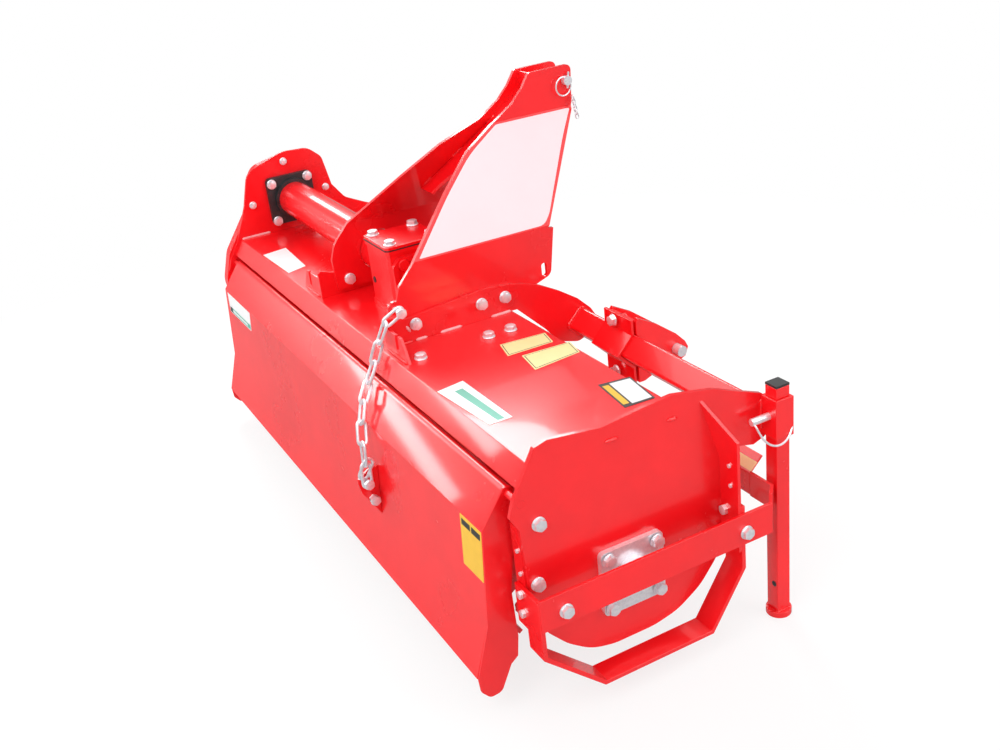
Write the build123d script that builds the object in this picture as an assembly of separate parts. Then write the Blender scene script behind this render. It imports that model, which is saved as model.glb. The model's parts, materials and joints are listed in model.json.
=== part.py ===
from build123d import *
import os
from math import cos, hypot, radians, sin

# A three-point mounted rotavator, 1.5 m wide. Millimetres, +X right, +Y forward, +Z up.
# It is drafted with X = 0 at the hitch, Y = 0 at the rotor axis and Z = 0 at the ground.
# MOVE_X and MOVE_Y then put the origin in the middle of the underside.

# Main sizes. What stands round the rotor grows with it, by GROW.
SIDE = 754.0  # outer face of the side plates from the middle
ROTOR_R = 213.3  # reach of the tines
GROW = ROTOR_R / 213.3
REST = 15.0  # degrees from the lowest point to the two rows of tips that it stands on
AXIS_Z = ROTOR_R * cos(radians(REST))  # two rows of tips and the stands carry it
PLATE = 8.0  # side, headstock and bracket plates
SHEET = 4.0  # tailboard
HOOD_SHEET = 5.0
HOOD_TOP = 463.0 * GROW
HOOD_BACK, HOOD_FRONT = -161.0, 122.0
DRIVE_Y, DRIVE_Z = -5.0 * GROW, HOOD_TOP + 78  # gearbox and cross shaft
TUBE_R = 44.0
HEAD_X = 176.0  # outer face of the headstock plates at their feet
TOP_GAP = 52.0  # between the headstock plates at the top link
TOP_PIN_Y, TOP_PIN_Z, TOP_PIN_R = 381.0 * GROW, 858.0 * GROW, 9.5
LINK_X, LINK_Y, LINK_Z, LINK_R = 335.0, 379.0 * GROW, 368.0 * GROW, 11.0
LINK_GAP, EAR = 74.0, 10.0
BAR_Y, BAR_Z, BAR = 284.0 * GROW, 392.0 * GROW, 50.0  # square hitch bars, on edge
HINGE_Y, HINGE_Z, HINGE_R, PIVOT_R = -186.0 * GROW, 408.0 * GROW, 11.0, 7.0
WING_X = SIDE - 42  # outer face of the tailboard wings
FLANGE_X, FLANGE_Y, FLANGE_T = SIDE - 35, -192.0 * GROW, 6.0  # side plates' rear flanges
RIB_Y, RIB_T, RIB_W = 190.0 * GROW, 6.0, 46.0  # ribs on the side plates' fronts
SKID_T = 8.0
GUARD_Z0, GUARD_Z1, GUARD_T = 203.0 * GROW, 262.0 * GROW, 6.0
NOSE_Y = 278.0 * GROW  # front face of the guards
SLEEVE, SLEEVE_Y, SLEEVE_Z0, SLEEVE_Z1 = 38.0, 279.0 * GROW, 368.0 * GROW, 440.0 * GROW
STAND_TUBE, STAND_TOP = 28.0, 464.0 * GROW
FOOT_R, FOOT_H = 23.0, 12.0
CASE_DEPTH = 38.0
SHAFT_R = 17.5  # input shaft, 35 mm
CLAMP = 6.0  # bent plates of the hitch clamps
CHAIN_TOP = (197, -121 * GROW, 536 * GROW)
CHAIN_BENDS = [(198, -161 * GROW, 517 * GROW), (199, -175 * GROW, 475 * GROW),
               (202, -198 * GROW, 434 * GROW), (238, -243 * GROW, 384 * GROW),
               (272, -262 * GROW, 330 * GROW)]
CHAIN_END = (292, -272 * GROW, 262 * GROW)
BOLT_R = 4.0  # bolts that hold the chain
PIN_GAP = 0.3  # round a pin in its hole
SLIDE_GAP = 0.5  # round a stand in its sleeve

# Rotor: stations along X, each a flange with tines on both faces
STATIONS, TINES = 6, 4
TUBE, DISC_R, DISC_T = 38.0, 96.0, 10.0
TINE_T, BLADE = 8.0, 92.0


def yz(points, x0, x1, rounds=()):
    """Plate in the Y-Z plane from x0 to x1, with the points grown with the rotor; rounds
    holds pairs of corner number, radius."""
    points = [(0, y * GROW, z * GROW) for y, z in points]
    face = make_face(Polyline(*points, close=True))
    for i, radius in rounds:
        near = face.vertices().sort_by_distance(points[i])[0]
        face = fillet(near, radius * GROW)
    return Pos(x0, 0, 0) * extrude(face, x1 - x0, dir=(1, 0, 0))


def block(x0, x1, y0, y1, z0, z1):
    centre = Pos((x0 + x1) / 2, (y0 + y1) / 2, (z0 + z1) / 2)
    return centre * Box(x1 - x0, y1 - y0, z1 - z0)


def rod(x, y, z, radius, length, axis="X"):
    """Round bar whose middle is at x, y, z."""
    turn = {"X": Rot(0, 90, 0), "Y": Rot(90, 0, 0), "Z": Rot(0, 0, 0)}[axis]
    return Pos(x, y, z) * turn * Cylinder(radius, length)


def hex_bar(x, y, z, radius, length, axis="X"):
    """Hexagon bar, for a bolt; radius is to its corners."""
    turn = {"X": Rot(0, 90, 0), "Y": Rot(90, 0, 0), "Z": Rot(0, 0, 0)}[axis]
    return Pos(x, y, z) * turn * extrude(RegularPolygon(radius, 6), length / 2, both=True)


def strip(points, thickness, grow=GROW):
    """Outline of a bent sheet: the points run along one face and the thickness, which
    doesn't grow with the rotor, lies to the right of their direction."""
    thickness, other = thickness / grow, []
    for i, (y, z) in enumerate(points):
        sides = []
        for a, b in ((i - 1, i), (i, i + 1)):
            if a >= 0 and b < len(points):
                dy, dz = points[b][0] - points[a][0], points[b][1] - points[a][1]
                sides.append((dz / hypot(dy, dz), -dy / hypot(dy, dz)))
        (ay, az), (by, bz) = sides[0], sides[-1]
        scale = 1 + ay * by + az * bz
        other.append((y + (ay + by) / scale * thickness, z + (az + bz) / scale * thickness))
    return list(points) + other[::-1]


def mirrored(shape):
    return mirror(shape, about=Plane.YZ)


parts = {}

# Side plates, each with a lobe in front for the hitch bar and the stand. Y, Z corners.
BOTTOM = [(196, 200), (178, 160), (140, 116), (90, 86), (40, 76), (-40, 76), (-86, 86),
          (-130, 118), (-170, 162), (-188, 205)]
REAR = [(-188, 263), (-194, 363), (-208, 389), (-199, 416)]
RIGHT_TOP = [(-154, 494), (-131, 500), (-34, 487), (48, 495), (101, 498), (182, 482)]
LEFT_TOP = [(-170, 463), (-136, 543), (-112, 628), (-14, 661), (58, 657), (90, 628),
            (105, 550), (136, 507), (190, 480)]
LOBE = [(238, 459), (281, 442), (316, 410), (317, 376), (284, 358), (262, 351), (196, 368)]


def side_plate(top, rounds):
    outline = BOTTOM + REAR + top + LOBE
    last = len(outline)
    bottom = [(i, 110) for i in range(1, len(BOTTOM) - 1)]
    plate = yz(outline, SIDE - PLATE, SIDE, bottom + rounds + [(last - 5, 16), (last - 4, 12)])
    rear = block(FLANGE_X, SIDE - PLATE + 1, FLANGE_Y, FLANGE_Y + FLANGE_T, 170 * GROW,
                 361 * GROW)
    low_z, fold_z, side_z, top_z = (z * GROW for z in (187, 350, 397, 469))
    low = make_face(Polyline((SIDE, RIB_Y, low_z), (SIDE + RIB_W, RIB_Y, low_z),
                             (SIDE + RIB_W, RIB_Y, side_z), (SIDE, RIB_Y, fold_z), close=True))
    high = make_face(Polyline((SIDE, RIB_Y, fold_z), (SIDE + RIB_W, RIB_Y, side_z),
                              (SIDE, RIB_Y - 37, top_z), close=True))
    ribs = [extrude(face, RIB_T, dir=(0, 1, 0)) for face in (low, high)]
    hole = rod(SIDE, HINGE_Y, HINGE_Z, PIVOT_R + 0.2, 40)
    return plate + rear + ribs[0] + ribs[1] - hole


first_top = len(BOTTOM + REAR)
parts["side_plate_right"] = side_plate(RIGHT_TOP, [])
left = side_plate(LEFT_TOP, [(first_top + 2, 45), (first_top + 4, 40), (first_top + 5, 30),
                             (first_top + 3, 90), (first_top + 7, 40)])
parts["side_plate_left"] = mirrored(left)

# Hood
hood_face = [(-184, 427), (HOOD_BACK, 463), (HOOD_FRONT, 463), (214, 335),
             (222, 240)]
inside = SIDE - PLATE
parts["hood"] = yz(strip(hood_face, HOOD_SHEET), -inside, inside)

# Headstock: two bent plates that meet the top link, and the web between them
HEAD_Z0, HEAD_Z1, HEAD_Z2 = (z * GROW for z in (474, 615, 805))  # foot and folds
TOP_X = TOP_GAP / 2 + PLATE
sheet = [(HEAD_X, HEAD_Z0), (HEAD_X, HEAD_Z1), (TOP_X, HEAD_Z2), (TOP_X, 900 * GROW)]
section = strip(sheet, -PLATE, 1)
bent = extrude(make_face(Polyline(*[(x, -300, z) for x, z in section], close=True)), 900,
               dir=(0, 1, 0))
head = [(-112, 474), (-116, 542), (-105, 575), (-67, 616), (45, 707), (124, 766), (211, 808),
        (252, 834), (278, 860), (297, 888), (397, 889), (392, 812), (388, 798), (229, 610),
        (241, 608), (226, 512), (190, 500), (150, 474)]
plate = bent & yz(head, 0, 200, [(2, 20), (6, 60), (9, 8), (10, 12), (11, 14), (15, 18)])
plate -= rod(0, TOP_PIN_Y, TOP_PIN_Z, TOP_PIN_R + PIN_GAP, 200)
slot = yz([(205, 512), (217, 512), (217, 540), (205, 540)], HEAD_X - 20, HEAD_X + 20,
          [(0, 5.9), (1, 5.9), (2, 5.9), (3, 5.9)])
plate -= slot
parts["headstock_left"] = mirrored(plate)
lug_y, lug_z = CHAIN_TOP[1], CHAIN_TOP[2]
lug = rod(HEAD_X - PLATE / 2, lug_y, lug_z, 13, PLATE)
plate += lug + block(HEAD_X - PLATE, HEAD_X, lug_y, lug_y + 14, lug_z - 13, lug_z + 13)
plate += hex_bar(HEAD_X + 18, lug_y, lug_z, BOLT_R, 38)
parts["headstock_right"] = plate

# The web: its line in Y-Z, and how far it reaches from the middle at each point
web_line = strip([(97, 661), (243, 811), (306, 848), (306, 884)], 6)
inner = section[len(sheet):]
inner += [(-x, z) for x, z in reversed(inner)]
reach = extrude(make_face(Polyline(*[(x, -300, z) for x, z in inner], close=True)), 900,
                dir=(0, 1, 0))
web = yz(web_line, -200, 200) & reach
web -= rod(0, 62 * GROW, 640 * GROW, 85, 400, "Z")
parts["headstock_web"] = web

parts["top_link_pin"] = (rod(-2, TOP_PIN_Y, TOP_PIN_Z, TOP_PIN_R, 2 * TOP_X + 28)
                         + hex_bar(-TOP_X - 7, TOP_PIN_Y, TOP_PIN_Z, 16, 8))

# Brackets that stand on the hood, carry the headstock and hold the hitch bars
arch = [(-150, 463), (-150, 519), (-144, 523), (-109, 512), (-30, 518), (70, 526), (119, 521),
        (151, 514), (190, 501), (238, 474), (279, 446), (308, 417), (320, 396), (288, 356),
        (272, 351), (227, 364), (200, 398), (136, 463)]
bracket = yz(arch, HEAD_X, HEAD_X + PLATE,
             [(3, 60), (5, 90), (8, 90), (11, 30), (12, 8), (13, 14), (14, 20), (16, 60)])
foot = [(HEAD_X + PLATE, 463), (HEAD_X + 106, 463), (HEAD_X + 80, 508), (HEAD_X + PLATE, 508)]
foot = make_face(Polyline(*[(x, -150 * GROW, z * GROW) for x, z in foot], close=True))
slot = Pos(HEAD_X + 62, -150 * GROW, 492 * GROW) * Rot(90, 0, 0) * (
    Rot(0, 0, 90) * SlotOverall(36, 12))
bracket += extrude(foot, 6, dir=(0, 1, 0)) - extrude(slot, 20, both=True)
parts["bracket_right"] = bracket
parts["bracket_left"] = mirrored(bracket) - rod(-HEAD_X, DRIVE_Y, DRIVE_Z, TUBE_R + 1, 40)

# Hitch bars: square tube on edge, from the brackets to the side plates


def diamond(x0, x1, size):
    """Square bar of that size, on edge, along X at the hitch bars' place."""
    middle = Pos((x0 + x1) / 2, BAR_Y, BAR_Z)
    return middle * Rot(45, 0, 0) * Box(x1 - x0, size, size)


bar = diamond(HEAD_X + PLATE, inside, BAR)
bar = fillet(bar.edges().filter_by(Axis.X), 6)
bar -= diamond(HEAD_X + PLATE + 1, inside - 1, BAR - 8)
parts["hitch_bar_right"] = bar
parts["hitch_bar_left"] = mirrored(bar)

# Lower hitch clevises: two bent plates clamped round the bar, the front one with two ears
half, tip = LINK_GAP / 2 + EAR, BAR / 2 ** 0.5 + 0.5
low, high = -70.0, 66.0
clamp = [(-3, high), (-3, tip - 3), (-tip, 0), (-3, 3 - tip), (-3, low)]


def along_bar(points, x0, x1):
    face = make_face(Polyline(*[(x0, BAR_Y + y, BAR_Z + z) for y, z in points], close=True))
    return extrude(face, x1 - x0, dir=(1, 0, 0))


behind = along_bar(strip(clamp, CLAMP, 1), LINK_X - half, LINK_X + half)
front_clamp = [(3, high - 6)] + [(-y, z) for y, z in clamp[1:]]
ahead = along_bar(strip(front_clamp, -CLAMP, 1), LINK_X - half, LINK_X + half)
pin_y, pin_z = LINK_Y - BAR_Y, LINK_Z - BAR_Z
ear = [(3, high - 6), (8, high), (pin_y - 45, pin_z + 67), (pin_y + 1, pin_z + 32),
       (pin_y + 22, pin_z + 10), (pin_y + 29, pin_z - 4), (pin_y + 22, pin_z - 22),
       (pin_y + 6, pin_z - 29), (pin_y - 20, pin_z - 24), (16, low), (3, low)]
clevis = behind + ahead
for x in (LINK_X - half, LINK_X + half - EAR):
    clevis += along_bar(ear, x, x + EAR) - diamond(x - 1, x + EAR + 1, BAR + 1)
for z in (BAR_Z + high - 12, BAR_Z + low + 14):
    clevis += hex_bar(LINK_X - 5, BAR_Y, z, 7, 30, "Y")
clevis -= rod(LINK_X, LINK_Y, LINK_Z, LINK_R + PIN_GAP, 160)
pin = rod(LINK_X + 5, LINK_Y, LINK_Z, LINK_R, 2 * half + 30)
parts["hitch_clevis_right"] = clevis
parts["hitch_clevis_left"] = mirrored(clevis)
parts["lower_pin_right"] = pin
parts["lower_pin_left"] = mirrored(pin)

# Gearbox on the hood, its cover, and the tube and case of the drive to the left end
BOX_X0, BOX_X1, BOX_Y0, BOX_Y1 = -72.0, 42.0, -68.0, 48.0
box_top = HOOD_TOP + 141


def lid(z0, z1):
    """Slab of the gearbox's outline with a rim, and cut corners."""
    slab = block(BOX_X0 - 4, BOX_X1 + 4, BOX_Y0 - 3, BOX_Y1 + 5, z0, z1)
    return chamfer(slab.edges().filter_by(Axis.Z), 6)


gearbox = block(BOX_X0, BOX_X1, BOX_Y0, BOX_Y1, HOOD_TOP, box_top)
gearbox = chamfer(gearbox.edges().filter_by(Axis.Z), 5)
gearbox += lid(HOOD_TOP, HOOD_TOP + 10) + lid(box_top - 10, box_top)
panel = block(BOX_X1 - 1, BOX_X1 + 12, BOX_Y0 + 4, BOX_Y1 - 4, HOOD_TOP + 18, box_top - 18)
panel = chamfer(panel.edges().filter_by(Axis.X), 16)
recess = block(BOX_X1 + 6, BOX_X1 + 13, BOX_Y0 + 14, BOX_Y1 - 14, HOOD_TOP + 28, box_top - 28)
gearbox += panel - chamfer(recess.edges().filter_by(Axis.X), 12)
gearbox += rod(0, (BOX_Y1 + 92) / 2, DRIVE_Z, 44, 92 - BOX_Y1, "Y")
gearbox += rod(BOX_X0 - 8, DRIVE_Y, DRIVE_Z, 54, 20)
gearbox -= rod(0, 82, DRIVE_Z, SHAFT_R + PIN_GAP, 42, "Y")
parts["gearbox"] = gearbox
parts["gearbox_cover"] = lid(box_top, box_top + 7)

tube_end = BOX_X0 - 18
tube = rod((tube_end - inside) / 2, DRIVE_Y, DRIVE_Z, TUBE_R, inside + tube_end)
flange = block(-inside, -inside + 12, DRIVE_Y - 66, DRIVE_Y + 56, DRIVE_Z - 60, DRIVE_Z + 62)
flange = fillet(flange.edges().filter_by(Axis.X), 12)
flange += rod(-inside + 13, DRIVE_Y, DRIVE_Z, TUBE_R + 7, 26)
parts["cross_tube"] = tube - flange
parts["cross_flange"] = flange
parts["headstock_left"] -= rod(-170, DRIVE_Y, DRIVE_Z, TUBE_R + 1, 60)
case = [(-98, 632), (-120, 540), (-196, 434), (-219, 358), (-205, 290), (-112, 130),
        (-60, 98), (60, 98), (110, 150), (116, 250), (96, 560), (76, 636), (-14, 650)]
rounds = [(0, 40), (2, 60), (3, 60), (4, 60), (5, 50), (6, 60), (7, 60), (8, 50), (10, 60),
          (11, 40)]
drive_case = yz(case, -SIDE - CASE_DEPTH, -SIDE, rounds)
face = drive_case.faces().sort_by(Axis.X)[0]
parts["drive_case"] = chamfer(face.edges(), 8)

# Rotor bearing on the right
flange = block(SIDE, SIDE + 10, -61, 61, AXIS_Z - 61, AXIS_Z + 61)
flange = fillet(flange.edges().filter_by(Axis.X), 9)
bearing = flange + rod(SIDE + 14, 0, AXIS_Z, 38, 20)
parts["rotor_bearing"] = bearing

# Rotor: L-shaped tines whose tips trail, with the edge of the blade at ROTOR_R


def round_axis(points, x0, x1):
    """Plate in Y-Z, from the axis, whose points grow with the rotor."""
    points = [(0, y * GROW, z * GROW + AXIS_Z) for y, z in points]
    return Pos(x0, 0, 0) * extrude(make_face(Polyline(*points, close=True)), x1 - x0,
                                   dir=(1, 0, 0))


shank = round_axis([(0, 213.3), (-46, 197), (-10, 100), (-4, 58), (40, 58), (38, 122)],
                   DISC_T / 2, DISC_T / 2 + TINE_T)
blade = round_axis([(0, 213.3), (-46, 197), (-43, 189), (3, 205)], DISC_T / 2, BLADE)
tine = shank + blade
centre = Pos(0, 0, AXIS_Z)
pitch = 2 * (WING_X - 12) / STATIONS
rotor = rod(0, 0, AXIS_Z, TUBE, 2 * (inside - PIN_GAP))
for x in (-1, 1):
    rotor += rod(x * (WING_X - 20), 0, AXIS_Z, 62, 12)
for k in range(STATIONS):
    middle = (k - (STATIONS - 1) / 2) * pitch
    lead = 180 + REST - 2 * REST * min(k, STATIONS - 1 - k)
    disc = extrude(RegularPolygon(DISC_R, 2 * TINES), DISC_T / 2, both=True)
    rotor += Pos(middle, 0, AXIS_Z) * Rot(lead + 180 / TINES / 2, 0, 0) * Rot(0, 90, 0) * disc
    for i in range(TINES):
        turn = centre * Rot(lead + 360 / TINES * i, 0, 0) * centre.inverse()
        rotor += Pos(middle, 0, 0) * turn * (tine if i % 2 else mirrored(tine))
parts["rotor"] = rotor

# Skids, bolted to the rear flanges and the ribs, with a guard along each side
skid_back, skid_front = (FLANGE_Y - SKID_T) / GROW, (RIB_Y + RIB_T + SKID_T) / GROW
skid_line = [(skid_back, 255), (skid_back, 145), (-92, 44), (131, 44), (skid_front, 150),
             (skid_front, 275)]
skid = yz(strip(skid_line, -SKID_T), SIDE, SIDE + RIB_W)
skid += block(FLANGE_X + 6, SIDE + 1, FLANGE_Y - SKID_T, FLANGE_Y, 180 * GROW, 255 * GROW)
parts["skid_right"] = skid
parts["skid_left"] = mirrored(skid)
outer = SIDE + RIB_W
guard = block(outer, outer + GUARD_T, FLANGE_Y - SKID_T, NOSE_Y - 20, GUARD_Z0, GUARD_Z1)
turned = strip([(outer + GUARD_T, NOSE_Y - 20), (outer - 14, NOSE_Y), (outer - 70, NOSE_Y)],
               -GUARD_T, 1)
guard += extrude(make_face(Polyline(*[(x, y, GUARD_Z0 + 31) for x, y in turned], close=True)),
                 47, dir=(0, 0, 1))
parts["guard_right"] = guard
parts["guard_left"] = mirrored(guard)
front = [((NOSE_Y - GUARD_T) / GROW, 236), ((NOSE_Y - GUARD_T) / GROW, 280), (300, 306)]
parts["front_guard"] = yz(strip(front, 4.0), 70 - outer, outer - 70)

# Tailboard: a hinge tube with the bent board, and a wing at each end
board = [(-194.9, 414.5), (-237, 358), (-250, 180), (-280, 87)]
wing_in = WING_X - SHEET
hinge = rod(0, HINGE_Y, HINGE_Z, HINGE_R, 2 * wing_in)
panel = yz(strip(board, -SHEET), -wing_in, wing_in) + hinge
for side in (-1, 1):
    panel -= rod(side * wing_in, HINGE_Y, HINGE_Z, PIVOT_R + PIN_GAP, 60)
parts["tailboard"] = panel
wing = [(-178, 419), (-193, 419), (-194.9, 414.5), (-237, 358), (-250, 180),
        (-279, 88), (-277, 60), (-262, 42), (-240, 44), (-217, 90), (-203, 101), (-198, 139),
        (-200, 230), (-174, 400)]
wing = yz(wing, wing_in, WING_X, [(0, 5), (6, 9), (7, 12), (8, 14)])
wing -= rod(WING_X, HINGE_Y, HINGE_Z, PIVOT_R + PIN_GAP, 40)
parts["tailboard_wing_right"] = wing
parts["tailboard_wing_left"] = mirrored(wing)
pivot = rod(SIDE - 30, HINGE_Y, HINGE_Z, PIVOT_R, 60)
parts["tailboard_pivot_right"] = pivot
parts["tailboard_pivot_left"] = mirrored(pivot)

# Chain from the right bracket to its plate on the tailboard
plate_x = CHAIN_END[0] - 18
(high_y, high_z), (low_y, low_z) = board[1:3]
root_y = low_y + (high_y - low_y) * (284 - low_z) / (high_z - low_z)
gusset = [(root_y, 284), (-262, 282), (-288, 264), (-282, 236), (low_y, low_z)]
chain_plate = yz(gusset, plate_x, plate_x + 6, [(2, 10)])
chain_plate += hex_bar(plate_x + 15, CHAIN_END[1], CHAIN_END[2], BOLT_R, 30)
chain_plate += hex_bar(plate_x + 5, -262 * GROW, 219 * GROW, 9, 18)
parts["chain_plate"] = chain_plate

# The chain runs over the hood's rear edge. Links alternate, the end ones on their bolts.
LINKS, WIRE, LINK_WIDE = 9, 6.5, 24.0
route = [Vector(*p) for p in (CHAIN_TOP, *CHAIN_BENDS, CHAIN_END)]
spans = [(b - a).length for a, b in zip(route, route[1:])]
slack = (LINK_WIDE - 2 * WIRE) / 2 - 0.2
pitch = (sum(spans) + 2 * slack) / LINKS


def on_route(s):
    """The point a way s along the route, whose end spans go on straight."""
    i = 0
    while i < len(spans) - 1 and s > spans[i]:
        s -= spans[i]
        i += 1
    return route[i] + (route[i + 1] - route[i]).normalized() * s




def oval(straight, radius):
    """Face of a link's outline, its ends in six flats each."""
    turns = [radians(30 * k - 90) for k in range(7)]
    ends = [(straight / 2 + radius * cos(t), radius * sin(t)) for t in turns]
    ends += [(-x, -y) for x, y in ends]
    return make_face(Polyline(*ends, close=True))


straight = pitch + 0.4 - LINK_WIDE + 2 * WIRE
ring = oval(straight, LINK_WIDE / 2) - oval(straight, LINK_WIDE / 2 - WIRE)
link = extrude(ring, WIRE / 2, both=True)
links = []
for k in range(LINKS):
    a, b = on_route(pitch * k - slack), on_route(pitch * (k + 1) - slack)
    along = (b - a).normalized()
    flat = (Vector(1, 0, 0) - along * along.X).normalized()
    facing = along.cross(flat) if k % 2 else flat
    links.append(Plane(origin=(a + b) / 2, x_dir=along, z_dir=facing) * link)
parts["tailboard_chain"] = Compound(links)

# Stands: a sleeve on each lobe, and a square leg with a foot that slides in it
sleeve_x, stand_y = SIDE + SLEEVE / 2, SLEEVE_Y + SLEEVE / 2
half = SLEEVE / 2
sleeve = block(SIDE, SIDE + SLEEVE, SLEEVE_Y, SLEEVE_Y + SLEEVE, SLEEVE_Z0, SLEEVE_Z1)
inner = STAND_TUBE / 2 + SLIDE_GAP
sleeve -= block(sleeve_x - inner, sleeve_x + inner, stand_y - inner, stand_y + inner, 0, 900)
sleeve += rod(sleeve_x, SLEEVE_Y - 15, SLEEVE_Z0 + 39, 6, 38, "Y")
parts["stand_sleeve_right"] = sleeve
parts["stand_sleeve_left"] = mirrored(sleeve)
half = STAND_TUBE / 2
leg = block(sleeve_x - half, sleeve_x + half, stand_y - half, stand_y + half, FOOT_H,
            STAND_TOP - 4)
leg += rod(sleeve_x, stand_y, FOOT_H / 2, FOOT_R, FOOT_H, "Z")
cap = block(sleeve_x - half, sleeve_x + half, stand_y - half, stand_y + half, STAND_TOP - 4,
            STAND_TOP)
parts["stand_right"], parts["stand_cap_right"] = leg, cap
parts["stand_left"], parts["stand_cap_left"] = mirrored(leg), mirrored(cap)

# Input shaft and its shield
shaft = rod(0, 114, DRIVE_Z, SHAFT_R - 0.2, 104, "Y")
parts["input_shaft"] = shaft + rod(0, 130, DRIVE_Z, SHAFT_R, 72, "Y")
shield = rod(0, 132, DRIVE_Z, 78, 80, "Y") - rod(0, 134, DRIVE_Z, 74, 80, "Y")
shield -= rod(0, 95, DRIVE_Z, 24, 20, "Y")
parts["shaft_shield"] = shield

# Write every piece with the origin in the middle of the underside
boxes = [shape.bounding_box() for shape in parts.values()]
MOVE_X = -(min(b.min.X for b in boxes) + max(b.max.X for b in boxes)) / 2
MOVE_Y = -(min(b.min.Y for b in boxes) + max(b.max.Y for b in boxes)) / 2
MOVE_Z = -min(b.min.Z for b in boxes)
os.makedirs("parts", exist_ok=True)
for name, shape in parts.items():
    export_step(Pos(MOVE_X, MOVE_Y, MOVE_Z) * shape, f"parts/{name}.step")
print("moved by", round(MOVE_X, 3), round(MOVE_Y, 3), round(MOVE_Z, 3))
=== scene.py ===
"""Finishes for the rotavator: paint, fasteners, blank labels, rings, welds and the studio."""

import json
from math import pi, radians, tan

import bmesh
import bpy
import numpy as np
from mathutils import Matrix, Vector


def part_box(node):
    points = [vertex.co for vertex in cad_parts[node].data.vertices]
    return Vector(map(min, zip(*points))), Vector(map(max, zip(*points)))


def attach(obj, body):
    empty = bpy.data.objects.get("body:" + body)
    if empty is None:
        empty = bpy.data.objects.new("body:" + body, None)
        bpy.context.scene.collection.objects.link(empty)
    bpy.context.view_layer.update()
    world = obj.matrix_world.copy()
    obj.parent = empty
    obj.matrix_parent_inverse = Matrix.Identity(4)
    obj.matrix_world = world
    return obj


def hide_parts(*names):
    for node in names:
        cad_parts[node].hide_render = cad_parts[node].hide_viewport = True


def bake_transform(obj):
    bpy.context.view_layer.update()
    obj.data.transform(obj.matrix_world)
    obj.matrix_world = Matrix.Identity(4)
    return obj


bl_info = {
    "name": "Rotavator finishes",
    "version": (1, 0, 0),
    "blender": (4, 5, 0),
    "location": "3D View > Sidebar > Rotavator",
    "description": "Paint, fasteners, labels and studio for the rotavator",
    "category": "Object",
}

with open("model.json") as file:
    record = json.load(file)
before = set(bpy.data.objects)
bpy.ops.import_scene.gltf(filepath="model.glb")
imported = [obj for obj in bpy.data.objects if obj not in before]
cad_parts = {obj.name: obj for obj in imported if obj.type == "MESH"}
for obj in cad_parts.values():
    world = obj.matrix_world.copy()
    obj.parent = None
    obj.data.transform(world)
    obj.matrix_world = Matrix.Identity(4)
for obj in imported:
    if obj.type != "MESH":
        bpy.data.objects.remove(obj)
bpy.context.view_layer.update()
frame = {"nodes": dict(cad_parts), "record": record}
BODY = {node: body for body, nodes in frame["record"]["behaviour"]["bodies"].items()
        for node in nodes}


def middle(node):
    """Middle of a CAD node's box at rest."""
    low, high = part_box(node)
    return (low + high) / 2


AXIS = middle("rotor_bearing")  # on the rotor's axis
SHIFT = Vector((0.0, AXIS.y, 0.0))


def at(x, y, z):
    """Place from millimetres: across from the middle, forward of the rotor's axis, up."""
    return Vector((x, y, z)) / 1000 + SHIFT


# Surfaces: each is (points, faces), worked out as whole arrays


def grid_faces(rows, columns, closed=False):
    """Quads of a grid of rows x columns points, whose last column joins the first. Closed, its
    last row joins the first too."""
    i = np.arange(rows if closed else rows - 1)[:, None]
    j = np.arange(columns)[None, :]
    k, m = (i + 1) % rows, (j + 1) % columns
    quads = np.stack([i * columns + j, i * columns + m, k * columns + m, k * columns + j], -1)
    return quads.reshape(-1, 4).tolist()


def basis(along):
    """Along at length 1, and two directions square to it and to each other."""
    along = Vector(along).normalized()
    other = Vector((0, 0, 1)) if abs(along.z) < 0.9 else Vector((1, 0, 0))
    first = other.cross(along).normalized()
    return along, first, along.cross(first)


def turned(profile, place, along, sides=24):
    """Surface of revolution: point (s, t) = place + height(s) along + radius(s) times the unit
    circle at angle t."""
    along, u, v = basis(along)
    radius, height = np.array(profile, float).T
    t = np.arange(sides) * 2 * pi / sides
    circle = np.cos(t)[:, None] * np.array(u) + np.sin(t)[:, None] * np.array(v)
    points = (np.array(place) + height[:, None, None] * np.array(along)
              + radius[:, None, None] * circle[None])
    return points.reshape(-1, 3), grid_faces(len(radius), sides)


def drum(radius, tall):
    """Profile of a plain round plug: radius and height of its corners."""
    return [(0, 0), (radius, 0), (radius, tall), (0, tall)]


WASHER_TALL = 0.0022
WASHER_LOW, WASHER_TOP = 0.0004, 0.0005  # how far a washer's two edges are cut back
HEAD_POINTS = 24  # points round a head, four to a flat
# Round face on top of a head: its width over the head's, and how far the cone starts below it
FACE_SHARE, FACE_LOW = 0.95, 0.0002


def hex_head(place, along, flats, tall, washer=0.0):
    """Hexagon head on a round washer: rings of a hexagon whose corners are cut by a cone of
    30 degrees, that is top(t) = tall - (r(t) - flats / 2) tan 30, where r(t) is the hexagon's
    radius at angle t."""
    parts, base = [], 0.0
    if washer:
        base = WASHER_TALL
        parts.append(turned([(0, 0), (washer - WASHER_LOW, 0), (washer, WASHER_LOW),
                             (washer, base - WASHER_TOP), (washer - WASHER_TOP, base),
                             (0, base)], place, along))
    along, u, v = basis(along)
    t = np.arange(HEAD_POINTS) * 2 * pi / HEAD_POINTS
    r = flats / 2 / np.cos((t + pi / 6) % (pi / 3) - pi / 6)
    top = tall - (r - flats / 2) * tan(pi / 6) - FACE_LOW
    rim = 0 * r + flats / 2 * FACE_SHARE
    radii = np.stack([0 * r, r, r, rim, 0 * r])
    heights = np.stack(np.broadcast_arrays(base, base, base + top, base + tall, base + tall))
    circle = np.cos(t)[:, None] * np.array(u) + np.sin(t)[:, None] * np.array(v)
    points = (np.array(place) + heights[..., None] * np.array(along)
              + radii[..., None] * circle)
    parts.append((points.reshape(-1, 3), grid_faces(len(radii), HEAD_POINTS)))
    return together(parts)


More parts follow.
